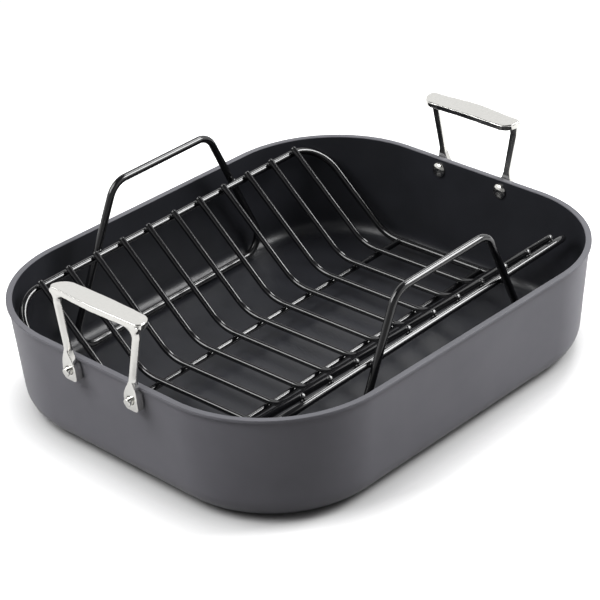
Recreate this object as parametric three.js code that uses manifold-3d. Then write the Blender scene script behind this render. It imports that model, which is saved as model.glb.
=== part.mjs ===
// Roasting pan with a lift-out wire rack, in millimetres.
// +Z is up, +X runs along the pan to its right handle, -Y is the front.
// The origin is the middle of the pan's flat underside.
import * as THREE from "three";
import { mergeVertices } from "three/addons/utils/BufferGeometryUtils.js";
import Module from "manifold-3d";

// Pan: sizes over the rim's outer edge.
const PAN_LENGTH = 406.4;
const PAN_WIDTH = 334.4;
const PAN_HEIGHT = 89.2;
const PAN_CORNER_RADIUS = 98;
const PAN_DRAFT_DEG = 4.8;
const PAN_WALL = 3.4;
const PAN_FLOOR = 3.6;
const PAN_OUTER_FILLET = 20;
const PAN_INNER_FILLET = 13;
const RIM_LIP = 1.3;
const RIM_LIP_HEIGHT = 2.4;
const RIM_EDGE = 0.6;

// Pan handles: a flat grip on two legs, each leg ending in a foot that is riveted to the end wall.
const GRIP_LENGTH = 91.2;
const GRIP_TOP_ABOVE_RIM = 53.2;
const GRIP_THICKNESS = 4.7;
const GRIP_TILT_DEG = 5.4;
const GRIP_REACH_INWARD = 11.9;
const GRIP_REACH_OUTWARD = 4.3;
const GRIP_SWELL = 2.1;
const GRIP_INNER_CORNER = 12;
const GRIP_OUTER_CORNER = 4;
const GRIP_EDGE = 1;
const LEG_TOP_WIDTH = 7.2;
const LEG_TOP_INSET = 1.9;
const LEG_DEPTH = 4.2;
const LEG_NECK_WIDTH = 6.3;
const LEG_NECK_OUTWARD = 1.75;
const LEG_NECK_ABOVE_RIM = 4;
const LEG_FLARE = 6;
const FOOT_WIDTH = 13;
const FOOT_THICKNESS = 7;
const FOOT_BELOW_RIM = 19;
const FOOT_SHOULDER = 9.5;
const FOOT_CORNER = 3;

// Rivets: a domed head inside the pan, a shank through wall and foot, a short stub outside.
const RIVET_FROM_GRIP_END = 14;
const RIVET_BELOW_RIM = 9.7;
const RIVET_SHANK_DIAMETER = 6.4;
const RIVET_HEAD_DIAMETER = 12.4;
const RIVET_HEAD_HEIGHT = 3.2;
const RIVET_STUB = 3.4;
const RIVET_STUB_EDGE = 0.7;

// Rack wires.
const FRAME_WIRE = 6;
const CROSS_WIRE = 4.8;
const ROD_WIRE = 4.8;
const LOOP_WIRE = 6;
const CROSS_WIRE_COUNT = 11;

// Rack shape: a U-shaped basket hung between two side rails, on two loops that are grip and foot in one.
const RACK_SIDE_ROOM = 4;
const RACK_END_ROOM = 5.3;
const RAIL_BELOW_RIM = 6.6;
const BASKET_RAISE = 18;
const BASKET_FLAT_WIDTH = 111;
const BASKET_BEND_RADIUS = 34;
const FRAME_CORNER_STEP = 68;
const CROSS_WIRE_MARGIN = 1;
const CROSS_WIRE_OVERRUN = 3;
const ROD_INSET = 0.5;
const LOOP_GRIP_LENGTH = 104.4;
const LOOP_GRIP_ABOVE_RIM = 43;
const LOOP_FOOT_OVERRUN = 7.5;
const LOOP_GRIP_BEND_RADIUS = 18;
const LOOP_FOOT_BEND_RADIUS = 16;

// How the loose rack lies in the pan: a little turned, and pushed to the back.
const RACK_TURN_DEG = 1.8;
const RACK_SHIFT = 5.5;

// Clearances.
const SEAT_GAP = 0.3;
const WELD_GAP = 0.3;
const HOLE_CLEARANCE = 0.3;

// Fineness of the facets.
const PAN_CORNER_STEPS = 12;
const FILLET_STEPS = 6;
const WIRE_SIDES = 10;
const BEND_STEPS = 6;
const ROUND_SIDES = 20;
const DOME_STEPS = 5;
const CURVE_STEPS = 6;
const STEPS_PER_ARC_DIVISION = 2; // three.js cuts an arc of a shape into two steps for each division

const wasm = await Module();
wasm.setup();

// The pan's wall, seen in section: how far it lies inside the rim's outer edge at a height.
const draft = THREE.MathUtils.degToRad(PAN_DRAFT_DEG);
const outerInset = (z) => RIM_LIP + (PAN_HEIGHT - z) * Math.tan(draft);
const innerInset = (z) => outerInset(z) + PAN_WALL / Math.cos(draft);

// The fillet between a level and a wall line, as points (inset, height) from the level up to the wall.
function filletPoints(level, radius, insetAt) {
  const centreInset = insetAt(level + radius) + radius / Math.cos(draft);
  const points = [];
  for (let step = 0; step <= FILLET_STEPS; step += 1) {
    const angle = ((Math.PI / 2 - draft) * step) / FILLET_STEPS;
    points.push([centreInset - radius * Math.sin(angle), level + radius * (1 - Math.cos(angle))]);
  }
  return points;
}

const outerFillet = filletPoints(0, PAN_OUTER_FILLET, outerInset);
const innerFillet = filletPoints(PAN_FLOOR, PAN_INNER_FILLET, innerInset);
const floorEdgeInset = innerFillet[0][0];

// Places that several pieces share. The rivets keep their distance from the grip's ends.
const rivetOffset = GRIP_LENGTH / 2 - RIVET_FROM_GRIP_END;
const rivetHeight = PAN_HEIGHT - RIVET_BELOW_RIM;
const gripTilt = THREE.MathUtils.degToRad(GRIP_TILT_DEG);
const gripTop = PAN_HEIGHT + GRIP_TOP_ABOVE_RIM;
const gripSwollen = GRIP_REACH_OUTWARD + GRIP_SWELL;
const legFront = SEAT_GAP + LEG_DEPTH;
const gripUnderside = gripTop + legFront * Math.tan(gripTilt) - GRIP_THICKNESS / Math.cos(gripTilt);
const gripMiddle = gripUnderside + GRIP_THICKNESS / 2;
const footBottom = PAN_HEIGHT - FOOT_BELOW_RIM;
const shoulder = footBottom + FOOT_SHOULDER;
const neckHeight = PAN_HEIGHT + LEG_NECK_ABOVE_RIM;
const endWall = (z) => -outerInset(z);

// Rack places, in the rack's own frame: its base is the underside of its feet.
const rackTurn = THREE.MathUtils.degToRad(RACK_TURN_DEG);
const rackBase = PAN_FLOOR + SEAT_GAP;
const railHeight = PAN_HEIGHT - RAIL_BELOW_RIM - rackBase;
const floorEdge = PAN_WIDTH / 2 - floorEdgeInset;
const loopOffset = floorEdge - RACK_SIDE_ROOM;
const loopGrip = LOOP_GRIP_LENGTH / 2;
const loopGripHeight = PAN_HEIGHT + LOOP_GRIP_ABOVE_RIM - rackBase;
const loopFoot = PAN_LENGTH / 2 - PAN_CORNER_RADIUS + LOOP_FOOT_OVERRUN;
const loopFootHeight = LOOP_WIRE / 2;
const railOffset = loopOffset - (LOOP_WIRE + FRAME_WIRE) / 2 - WELD_GAP;
const frameEnd = PAN_LENGTH / 2 - floorEdgeInset - RACK_END_ROOM;
const frameCornerRadius = PAN_CORNER_RADIUS - FRAME_CORNER_STEP;
const crossWireLift = (CROSS_WIRE + FRAME_WIRE) / 2 + WELD_GAP;
const frameFlatHeight = BASKET_RAISE - crossWireLift;

// The basket's slope: the cross wires pass over the rails, touching them on their upper side.
const basketFoot = new THREE.Vector2(BASKET_FLAT_WIDTH / 2, BASKET_RAISE);
const footToRail = new THREE.Vector2(railOffset, railHeight).sub(basketFoot);
const basketSlope = footToRail.angle() + Math.asin(crossWireLift / footToRail.length());
const slopeLength = Math.sqrt(footToRail.lengthSq() - crossWireLift ** 2) + CROSS_WIRE_OVERRUN;
const basketFlatStraight = basketFoot.x - BASKET_BEND_RADIUS * Math.tan(basketSlope / 2);

// A closed mesh as a solid that can be joined and cut.
function solidOf(geometry) {
  const bare = geometry.clone();
  bare.deleteAttribute("normal");
  bare.deleteAttribute("uv");
  const merged = mergeVertices(bare);
  const mesh = new wasm.Mesh({
    numProp: 3,
    vertProperties: merged.getAttribute("position").array,
    triVerts: new Uint32Array(merged.index.array),
  });
  return new wasm.Manifold(mesh);
}

function geometryOf(solid) {
  const { vertProperties, triVerts } = solid.getMesh();
  const geometry = new THREE.BufferGeometry();
  geometry.setAttribute("position", new THREE.BufferAttribute(vertProperties, 3));
  geometry.setIndex(new THREE.BufferAttribute(triVerts, 1));
  geometry.computeVertexNormals();
  return geometry;
}

// A named piece with a material of its own.
function piece(name, geometry, { color, roughness, metalness }) {
  const material = new THREE.MeshStandardMaterial({ color, roughness, metalness, flatShading: true });
  const mesh = new THREE.Mesh(geometry, material);
  mesh.name = name;
  return mesh;
}

const ANODISED = { color: 0x55565a, roughness: 0.45, metalness: 0.6 };
const STAINLESS = { color: 0xd4d4d6, roughness: 0.18, metalness: 1 };
const COATED_WIRE = { color: 0x17171a, roughness: 0.35, metalness: 0.1 };

// A round bend of a wire at a corner, as points of its centre line with their directions.
function bendStations(before, corner, after, radius) {
  const into = corner.clone().sub(before).normalize();
  const out = after.clone().sub(corner).normalize();
  const turn = into.angleTo(out);
  const side = out.clone().addScaledVector(into, -into.dot(out)).normalize();
  const start = corner.clone().addScaledVector(into, -radius * Math.tan(turn / 2));
  const centre = start.clone().addScaledVector(side, radius);
  const stations = [];
  for (let step = 0; step <= BEND_STEPS; step += 1) {
    const angle = (turn * step) / BEND_STEPS;
    const point = centre.clone();
    point.addScaledVector(side, -radius * Math.cos(angle));
    point.addScaledVector(into, radius * Math.sin(angle));
    const direction = into.clone().multiplyScalar(Math.cos(angle)).addScaledVector(side, Math.sin(angle));
    stations.push({ point, direction });
  }
  return stations;
}

// A bent wire's centre line, sampled where it starts, bends and ends.
class WirePath extends THREE.Curve {
  constructor(corners, closed) {
    super();
    this.closed = closed;
    this.stations = corners.flatMap(({ point, radius }, index) => {
      const before = corners[(index + corners.length - 1) % corners.length].point;
      const after = corners[(index + 1) % corners.length].point;
      const isEnd = !closed && (index === 0 || index === corners.length - 1);
      if (!isEnd) return bendStations(before, point, after, radius);
      const direction = index === 0 ? after.clone().sub(point) : point.clone().sub(before);
      return [{ point, direction: direction.normalize() }];
    });
    this.steps = closed ? this.stations.length : this.stations.length - 1;
  }

  stationAt(share) {
    return this.stations[Math.round(share * this.steps) % this.stations.length];
  }

  getPointAt(share, target = new THREE.Vector3()) {
    return target.copy(this.stationAt(share).point);
  }

  getTangentAt(share, target = new THREE.Vector3()) {
    return target.copy(this.stationAt(share).direction);
  }
}

// A wire with two ends.
function openWire(corners, diameter) {
  const path = new WirePath(corners, false);
  const section = new THREE.Shape().absarc(0, 0, diameter / 2, 0, 2 * Math.PI);
  const curveSegments = WIRE_SIDES / STEPS_PER_ARC_DIVISION;
  return new THREE.ExtrudeGeometry(section, { extrudePath: path, steps: path.steps, curveSegments });
}

// A wire welded end to end into a ring, so that its tube closes on itself.
function ringWire(corners, diameter) {
  const path = new WirePath(corners, true);
  return new THREE.TubeGeometry(path, path.steps, diameter / 2, WIRE_SIDES, true);
}

// The pan's outline at an inset from the rim's outer edge: a rectangle with round corners.
function panOutline(inset) {
  const radius = PAN_CORNER_RADIUS - inset;
  const x = PAN_LENGTH / 2 - PAN_CORNER_RADIUS;
  const y = PAN_WIDTH / 2 - PAN_CORNER_RADIUS;
  const outline = new THREE.Shape();
  outline.absarc(x, y, radius, 0, Math.PI / 2);
  outline.absarc(-x, y, radius, Math.PI / 2, Math.PI);
  outline.absarc(-x, -y, radius, Math.PI, 1.5 * Math.PI);
  outline.absarc(x, -y, radius, 1.5 * Math.PI, 2 * Math.PI);
  return outline.getPoints(PAN_CORNER_STEPS / STEPS_PER_ARC_DIVISION);
}

// The pan's shell: its wall section carried round the outline, closed by the underside and the floor.
function panShell() {
  const section = [
    ...outerFillet,
    [outerInset(PAN_HEIGHT - RIM_LIP_HEIGHT), PAN_HEIGHT - RIM_LIP_HEIGHT],
    [RIM_EDGE, PAN_HEIGHT - RIM_LIP_HEIGHT],
    [0, PAN_HEIGHT - RIM_LIP_HEIGHT + RIM_EDGE],
    [0, PAN_HEIGHT - RIM_EDGE],
    [RIM_EDGE, PAN_HEIGHT],
    [innerInset(PAN_HEIGHT) - RIM_EDGE, PAN_HEIGHT],
    [innerInset(PAN_HEIGHT - RIM_EDGE), PAN_HEIGHT - RIM_EDGE],
    ...innerFillet.toReversed(),
  ];
  const rings = section.map(([inset, z]) => panOutline(inset).map(({ x, y }) => new THREE.Vector3(x, y, z)));
  const count = rings[0].length;
  const corners = [...rings.flat(), new THREE.Vector3(0, 0, 0), new THREE.Vector3(0, 0, PAN_FLOOR)];
  const underside = corners.length - 2;
  const floor = corners.length - 1;
  const lastRing = (rings.length - 1) * count;
  const triangles = [];
  for (let index = 0; index < count; index += 1) {
    const next = (index + 1) % count;
    triangles.push(underside, next, index);
    triangles.push(floor, lastRing + index, lastRing + next);
    for (let ring = 0; ring < lastRing; ring += count) {
      triangles.push(ring + index, ring + next, ring + count + next);
      triangles.push(ring + index, ring + count + next, ring + count + index);
    }
  }
  return new THREE.BufferGeometry().setFromPoints(corners).setIndex(triangles);
}

// A rivet's profile stands on the wall's outer face at 0 and points outward along +Y.
const rivetStubEnd = SEAT_GAP + FOOT_THICKNESS + RIVET_STUB;
const rivetHeadSeat = -PAN_WALL - SEAT_GAP;

function rivetGeometry() {
  const shank = RIVET_SHANK_DIAMETER / 2;
  const profile = [];
  for (let step = 0; step <= DOME_STEPS; step += 1) {
    const angle = ((Math.PI / 2) * step) / DOME_STEPS;
    const radius = (RIVET_HEAD_DIAMETER / 2) * Math.sin(angle);
    profile.push(new THREE.Vector2(radius, rivetHeadSeat - RIVET_HEAD_HEIGHT * Math.cos(angle)));
  }
  profile.push(new THREE.Vector2(shank, rivetHeadSeat));
  profile.push(new THREE.Vector2(shank, rivetStubEnd - RIVET_STUB_EDGE));
  profile.push(new THREE.Vector2(shank - RIVET_STUB_EDGE, rivetStubEnd));
  profile.push(new THREE.Vector2(0, rivetStubEnd));
  return new THREE.LatheGeometry(profile, ROUND_SIDES);
}

// From the rivet's own axis to its place at a pan end: square to the leaning wall.
function rivetPlace(side) {
  const y = side * rivetOffset;
  const place = new THREE.Matrix4().makeTranslation(endWall(rivetHeight), y, rivetHeight);
  place.multiply(new THREE.Matrix4().makeRotationY(draft));
  return place.multiply(new THREE.Matrix4().makeRotationZ(-Math.PI / 2));
}

// The hole that a rivet's shank needs, long enough to pass through the wall and the foot.
function rivetHole(side) {
  const radius = RIVET_SHANK_DIAMETER / 2 + HOLE_CLEARANCE;
  const length = 2 * (PAN_WALL + FOOT_THICKNESS + RIVET_STUB);
  return new THREE.CylinderGeometry(radius, radius, length, ROUND_SIDES).applyMatrix4(rivetPlace(side));
}

// One leg and foot of a handle seen from the end: x is across the pan, y is up.
function legOutline(side) {
  const footOut = rivetOffset + FOOT_WIDTH / 2;
  const footIn = rivetOffset - FOOT_WIDTH / 2;
  const neckOut = rivetOffset + LEG_NECK_OUTWARD + LEG_NECK_WIDTH / 2;
  const neckIn = neckOut - LEG_NECK_WIDTH;
  const neckCurve = (neckHeight + shoulder) / 2;
  const topOut = GRIP_LENGTH / 2 - LEG_TOP_INSET;
  const topIn = topOut - LEG_TOP_WIDTH;
  const flareStart = gripUnderside - LEG_FLARE;
  const outline = new THREE.Shape();
  outline.moveTo(footIn + FOOT_CORNER, footBottom);
  outline.lineTo(footOut - FOOT_CORNER, footBottom);
  outline.quadraticCurveTo(footOut, footBottom, footOut, footBottom + FOOT_CORNER);
  outline.lineTo(footOut, shoulder);
  outline.bezierCurveTo(footOut, neckCurve, neckOut, neckCurve, neckOut, neckHeight);
  outline.lineTo(topOut, flareStart);
  outline.lineTo(topOut, gripMiddle);
  outline.lineTo(topIn - LEG_FLARE, gripMiddle);
  outline.lineTo(topIn - LEG_FLARE, gripUnderside);
  outline.quadraticCurveTo(topIn, gripUnderside, topIn, flareStart);
  outline.lineTo(neckIn, neckHeight);
  outline.bezierCurveTo(neckIn, neckCurve, footIn, neckCurve, footIn, shoulder);
  outline.lineTo(footIn, footBottom + FOOT_CORNER);
  outline.quadraticCurveTo(footIn, footBottom, footIn + FOOT_CORNER, footBottom);
  const points = outline.getPoints(CURVE_STEPS);
  return new THREE.Shape(points.map(({ x, y }) => new THREE.Vector2(side * x, y)));
}

// The handle's legs seen from the side: x is outward from the rim, y is up.
// They lie on the wall and pass the lip.
function legProfile() {
  const lipClear = PAN_HEIGHT - RIM_LIP_HEIGHT - SEAT_GAP;
  const profile = new THREE.Shape();
  profile.moveTo(endWall(footBottom) + SEAT_GAP, footBottom);
  profile.lineTo(endWall(footBottom) + SEAT_GAP + FOOT_THICKNESS, footBottom);
  profile.lineTo(endWall(shoulder) + SEAT_GAP + FOOT_THICKNESS, shoulder);
  profile.lineTo(legFront, neckHeight);
  profile.lineTo(legFront, gripMiddle);
  profile.lineTo(SEAT_GAP, gripMiddle);
  profile.lineTo(SEAT_GAP, lipClear);
  profile.lineTo(endWall(lipClear) + SEAT_GAP, lipClear);
  return profile;
}

// The grip seen from above: x is outward from the rim, y is across the pan.
function gripOutline() {
  const end = GRIP_LENGTH / 2;
  const innerCorner = end - GRIP_INNER_CORNER;
  const outerCorner = end - GRIP_OUTER_CORNER;
  const innerCentre = GRIP_INNER_CORNER - GRIP_REACH_INWARD;
  const outerCentre = GRIP_REACH_OUTWARD - GRIP_OUTER_CORNER;
  const outline = new THREE.Shape();
  outline.absarc(innerCentre, -innerCorner, GRIP_INNER_CORNER, Math.PI, 1.5 * Math.PI);
  outline.absarc(outerCentre, -outerCorner, GRIP_OUTER_CORNER, -Math.PI / 2, 0);
  const bend = outerCorner / 2;
  outline.bezierCurveTo(GRIP_REACH_OUTWARD, -bend, gripSwollen, -bend, gripSwollen, 0);
  outline.bezierCurveTo(gripSwollen, bend, GRIP_REACH_OUTWARD, bend, GRIP_REACH_OUTWARD, outerCorner);
  outline.absarc(outerCentre, outerCorner, GRIP_OUTER_CORNER, 0, Math.PI / 2);
  outline.absarc(innerCentre, innerCorner, GRIP_INNER_CORNER, Math.PI / 2, Math.PI);
  return outline;
}

// The grip: a slab with rounded edges, tilted up towards its outer side.
function gripGeometry() {
  const geometry = new THREE.ExtrudeGeometry(gripOutline(), {
    depth: GRIP_THICKNESS - 2 * GRIP_EDGE,
    bevelThickness: GRIP_EDGE,
    bevelSize: GRIP_EDGE,
    bevelOffset: -GRIP_EDGE,
    bevelSegments: 2,
    curveSegments: CURVE_STEPS,
  });
  geometry.translate(0, 0, GRIP_EDGE - GRIP_THICKNESS);
  return geometry.rotateY(-gripTilt).translate(0, 0, gripTop);
}

// One cast handle: legs cut to both their outlines, joined to the grip, with rivet holes through its feet.
function handleGeometry() {
  const across = new THREE.Matrix4().makeBasis(
    new THREE.Vector3(0, 1, 0),
    new THREE.Vector3(0, 0, 1),
    new THREE.Vector3(1, 0, 0),
  );
  const along = new THREE.Matrix4().makeRotationX(Math.PI / 2);
  const legReach = 2 * (FOOT_THICKNESS + LEG_DEPTH + outerInset(0));
  const profile = new THREE.ExtrudeGeometry(legProfile(), { depth: 2 * GRIP_LENGTH, bevelEnabled: false });
  const profileSolid = solidOf(profile.applyMatrix4(along).translate(0, GRIP_LENGTH, 0));
  let handle = solidOf(gripGeometry());
  for (const side of [-1, 1]) {
    const leg = new THREE.ExtrudeGeometry(legOutline(side), { depth: legReach, bevelEnabled: false });
    const legSolid = solidOf(leg.applyMatrix4(across).translate(-legReach / 2, 0, 0));
    handle = handle.add(legSolid.intersect(profileSolid)).subtract(solidOf(rivetHole(side)));
  }
  return geometryOf(handle);
}

// The pan's ends, where x is outward from the rim: the left end is the right one turned half round.
const ENDS = [
  { name: "left", turn: Math.PI, place: -PAN_LENGTH / 2 },
  { name: "right", turn: 0, place: PAN_LENGTH / 2 },
];

function endMatrix({ turn, place }) {
  return new THREE.Matrix4().makeTranslation(place, 0, 0).multiply(new THREE.Matrix4().makeRotationZ(turn));
}

function panGeometry() {
  let pan = solidOf(panShell());
  for (const end of ENDS) {
    for (const side of [-1, 1]) pan = pan.subtract(solidOf(rivetHole(side).applyMatrix4(endMatrix(end))));
  }
  return geometryOf(pan);
}

function endGroup(end) {
  const group = new THREE.Group();
  group.position.x = end.place;
  group.rotation.z = end.turn;
  group.add(piece(`pan_handle_${end.name}`, handleGeometry(), STAINLESS));
  for (const side of [-1, 1]) {
    const seat = side * Math.cos(end.turn) > 0 ? "back" : "front";
    const rivet = piece(`rivet_${end.name}_${seat}`, rivetGeometry(), STAINLESS);
    rivet.applyMatrix4(rivetPlace(side));
    group.add(rivet);
  }
  return group;
}

// The rack's frame: two side rails at the top, joined at each end by a U that follows the basket from below.
function frameGeometry() {
  const foot = railOffset - (railHeight - frameFlatHeight) / Math.tan(basketSlope);
  const corner = (x, y, z, radius) => ({ point: new THREE.Vector3(x, y, z), radius });
  const footRadius = BASKET_BEND_RADIUS + crossWireLift;
  const halfFrame = (side) => [
    corner(-side * frameEnd, side * railOffset, railHeight, frameCornerRadius),
    corner(side * frameEnd, side * railOffset, railHeight, frameCornerRadius),
    corner(side * frameEnd, side * foot, frameFlatHeight, footRadius),
    corner(side * frameEnd, -side * foot, frameFlatHeight, footRadius),
  ];
  return ringWire([...halfFrame(1), ...halfFrame(-1)], FRAME_WIRE);
}

// One cross wire, in a plane across the rack: down one slope, over the flat and up the other slope.
function crossWireGeometry() {
  const tipOffset = basketFoot.x + slopeLength * Math.cos(basketSlope);
  const tipHeight = BASKET_RAISE + slopeLength * Math.sin(basketSlope);
  const corners = [
    { point: new THREE.Vector3(0, -tipOffset, tipHeight) },
    { point: new THREE.Vector3(0, -basketFoot.x, BASKET_RAISE), radius: BASKET_BEND_RADIUS },
    { point: new THREE.Vector3(0, basketFoot.x, BASKET_RAISE), radius: BASKET_BEND_RADIUS },
    { point: new THREE.Vector3(0, tipOffset, tipHeight) },
  ];
  return openWire(corners, CROSS_WIRE);
}

// One rod under the basket's flat, from one end of the frame to the other.
function rodGeometry() {
  const end = frameEnd - FRAME_WIRE / 2 - WELD_GAP;
  const corners = [{ point: new THREE.Vector3(-end, 0, 0) }, { point: new THREE.Vector3(end, 0, 0) }];
  return openWire(corners, ROD_WIRE);
}

// One loop, in a plane along the rack: a grip at the top, sloping legs past the rail, a foot at the bottom.
function loopGeometry() {
  const corners = [
    { point: new THREE.Vector3(-loopGrip, 0, loopGripHeight), radius: LOOP_GRIP_BEND_RADIUS },
    { point: new THREE.Vector3(loopGrip, 0, loopGripHeight), radius: LOOP_GRIP_BEND_RADIUS },
    { point: new THREE.Vector3(loopFoot, 0, loopFootHeight), radius: LOOP_FOOT_BEND_RADIUS },
    { point: new THREE.Vector3(-loopFoot, 0, loopFootHeight), radius: LOOP_FOOT_BEND_RADIUS },
  ];
  return ringWire(corners, LOOP_WIRE);
}

// How far the back foot rides up the fillet beside the floor, at the end that the turn takes furthest back.
function backFootRide() {
  const legLean = Math.atan2(loopFoot - loopGrip, loopGripHeight - loopFootHeight);
  const footStraight = loopFoot - LOOP_FOOT_BEND_RADIUS * Math.tan((Math.PI / 2 + legLean) / 2);
  const reach = loopOffset * Math.cos(rackTurn) + footStraight * Math.abs(Math.sin(rackTurn)) + RACK_SHIFT;
  const over = Math.max(0, reach - floorEdge);
  const wireRoom = PAN_INNER_FILLET - LOOP_WIRE / 2;
  return wireRoom - Math.sqrt(wireRoom ** 2 - over ** 2);
}

// The whole rack: its front foot lies on the floor, and what the back foot rides up tilts it.
function rackGroup() {
  const rack = new THREE.Group();
  const tilt = Math.asin(backFootRide() / (2 * loopOffset));
  rack.position.set(0, RACK_SHIFT, rackBase + loopOffset * Math.sin(tilt));
  rack.rotation.set(tilt, 0, rackTurn);
  rack.add(piece("rack_frame", frameGeometry(), COATED_WIRE));

  const lastWire = frameEnd - frameCornerRadius - CROSS_WIRE_MARGIN;
  const pitch = (2 * lastWire) / (CROSS_WIRE_COUNT - 1);
  for (let index = 0; index < CROSS_WIRE_COUNT; index += 1) {
    const number = String(index + 1).padStart(2, "0");
    const wire = piece(`cross_wire_${number}`, crossWireGeometry(), COATED_WIRE);
    wire.position.x = index * pitch - lastWire;
    rack.add(wire);
  }

  const rodOffset = basketFlatStraight - ROD_INSET;
  const rodHeight = BASKET_RAISE - (CROSS_WIRE + ROD_WIRE) / 2 - WELD_GAP;
  for (const [seat, side] of [["front", -1], ["back", 1]]) {
    const rod = piece(`under_rod_${seat}`, rodGeometry(), COATED_WIRE);
    rod.position.set(0, side * rodOffset, rodHeight);
    const loop = piece(`lift_loop_${seat}`, loopGeometry(), COATED_WIRE);
    loop.position.y = side * loopOffset;
    rack.add(rod, loop);
  }
  return rack;
}

const roastingPan = new THREE.Group();
roastingPan.add(piece("pan_body", panGeometry(), ANODISED));
for (const end of ENDS) roastingPan.add(endGroup(end));
roastingPan.add(rackGroup());

export default roastingPan;
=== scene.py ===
# Looks of the roasting pan with its lift-out wire rack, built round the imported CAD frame.
import math

import bmesh
import bpy
from mathutils import Matrix, Vector


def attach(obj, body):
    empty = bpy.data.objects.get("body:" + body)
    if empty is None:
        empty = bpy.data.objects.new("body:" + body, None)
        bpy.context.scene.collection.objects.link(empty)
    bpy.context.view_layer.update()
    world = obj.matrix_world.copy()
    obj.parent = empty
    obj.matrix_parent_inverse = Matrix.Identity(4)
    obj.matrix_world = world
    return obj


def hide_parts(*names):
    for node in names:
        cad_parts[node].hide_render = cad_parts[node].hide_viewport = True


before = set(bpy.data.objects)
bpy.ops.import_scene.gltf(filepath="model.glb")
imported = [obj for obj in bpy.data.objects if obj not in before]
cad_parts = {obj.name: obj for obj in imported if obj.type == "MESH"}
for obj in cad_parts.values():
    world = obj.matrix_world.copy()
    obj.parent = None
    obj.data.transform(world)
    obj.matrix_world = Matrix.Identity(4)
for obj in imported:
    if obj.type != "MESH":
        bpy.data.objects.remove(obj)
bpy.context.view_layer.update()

# Sizes are in millimetres and meshes in metres, unless a comment says otherwise.
MM = 0.001
# Distances in metres within which points count as one place, or are merged.
SAME_PLACE = 1e-5
LEG_MERGE = 1e-6
WIRE_MERGE = 2e-5

# The pan, over its rim's outer edge.
PAN_LENGTH = 406.4
PAN_WIDTH = 334.4
PAN_HEIGHT = 89.2
PAN_CORNER = 98.0
PAN_DRAFT = math.radians(4.8)
PAN_WALL = 3.4
PAN_FLOOR = 3.6
OUTER_FILLET = 20.0
INNER_FILLET = 13.0
RIM_LIP = 1.3
RIM_LIP_HEIGHT = 2.4
RIM_EDGE = 0.6
LIP_CREASE = 0.02
LIP_CREASE_DROP = 0.3
EDGE_LOOP = 2.0  # from an edge to the loop of vertices that keeps the wall beside it flat

# A handle. In its own frame x is outward from the rim, y is across the pan and z is up.
SEAT_GAP = 0.3
GRIP_END = 45.6
GRIP_RISE = 53.2
GRIP_TOP = PAN_HEIGHT + GRIP_RISE
GRIP_THICKNESS = 4.7
GRIP_TILT = math.radians(5.4)
GRIP_INNER = -11.9
GRIP_OUTER = 4.3
GRIP_INNER_CORNER = 11.5
GRIP_OUTER_CORNER = 4.5
GRIP_SWELL = 2.1
GRIP_ARCH = 0.5
GRIP_PLAIN_END = 4.0
GRIP_CUT_SPACING = 2.0
GRIP_CUTS_EACH_WAY = 19
RIVET_FROM_GRIP_END = 14.0
RIVET_BELOW_RIM = 9.7
RIVET_Y = GRIP_END - RIVET_FROM_GRIP_END
RIVET_Z = PAN_HEIGHT - RIVET_BELOW_RIM
RIVET_HOLE = 3.5
HOLE_TOOL_LENGTH = 30.0

# A handle's leg, from its foot up: widths are across the pan, and the neck is its narrowest place.
LEG_DEPTH = 4.2
LEG_BELLY = 0.9
LEG_WEDGE = 1.9
LEG_TAPER = 2.1
LEG_EDGE = 0.9
FOOT_THICKNESS = 7.0
FOOT_WIDTH = 13.0
FOOT_CORNER = 3.0
FOOT_BELOW_RIM = 19.0
SHOULDER_BELOW_RIM = 9.0
LIP_ROOM = 1.2
NECK_WIDTH = 6.3
NECK_OUTWARD = 1.75
NECK_ABOVE_RIM = 7.0
LEG_TOP_WIDTH = 7.2
LEG_TOP_INSET = 1.9
LEG_FLARE = 8.0
LEG_FLARE_BACK = 2.6
LEG_FLARE_OUT = 1.4
LEG_IN_GRIP = 2.4
SLANT_RISE = 11.0
SLANT_FALL = 5.0

# The leg's places that follow from these.
LEG_FRONT = SEAT_GAP + LEG_DEPTH
FOOT_BOTTOM = PAN_HEIGHT - FOOT_BELOW_RIM
FOOT_SHOULDER = PAN_HEIGHT - SHOULDER_BELOW_RIM
FOOT_INNER = RIVET_Y - FOOT_WIDTH / 2
FOOT_OUTER = RIVET_Y + FOOT_WIDTH / 2
NECK_Z = PAN_HEIGHT + NECK_ABOVE_RIM
NECK_INNER = RIVET_Y + NECK_OUTWARD - NECK_WIDTH / 2
NECK_OUTER = NECK_INNER + NECK_WIDTH
LEG_TOP_OUTER = GRIP_END - LEG_TOP_INSET
LEG_TOP_INNER = LEG_TOP_OUTER - LEG_TOP_WIDTH
GRIP_UNDER = GRIP_TOP + LEG_FRONT * math.tan(GRIP_TILT) - GRIP_THICKNESS / math.cos(GRIP_TILT)
SLANT_START = PAN_HEIGHT - 2.0
SLANT_END = GRIP_UNDER + 0.5
LEG_EDGE_START = PAN_HEIGHT + 5.0
LEG_EDGE_END = GRIP_UNDER - 1.5

# A rivet: radii, and heights from its seats.
RIVET_HEAD = 6.2
RIVET_BRIM = 0.2
RIVET_RISE = 3.2
RIVET_CROWN = 0.6  # the part of the last ring that is drawn in, which leaves a small flat
RIVET_SHANK = 3.2
RIVET_STUB = 3.4
RIVET_STUB_EDGE = 0.8
RIVET_STUB_INSET = 0.3

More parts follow.
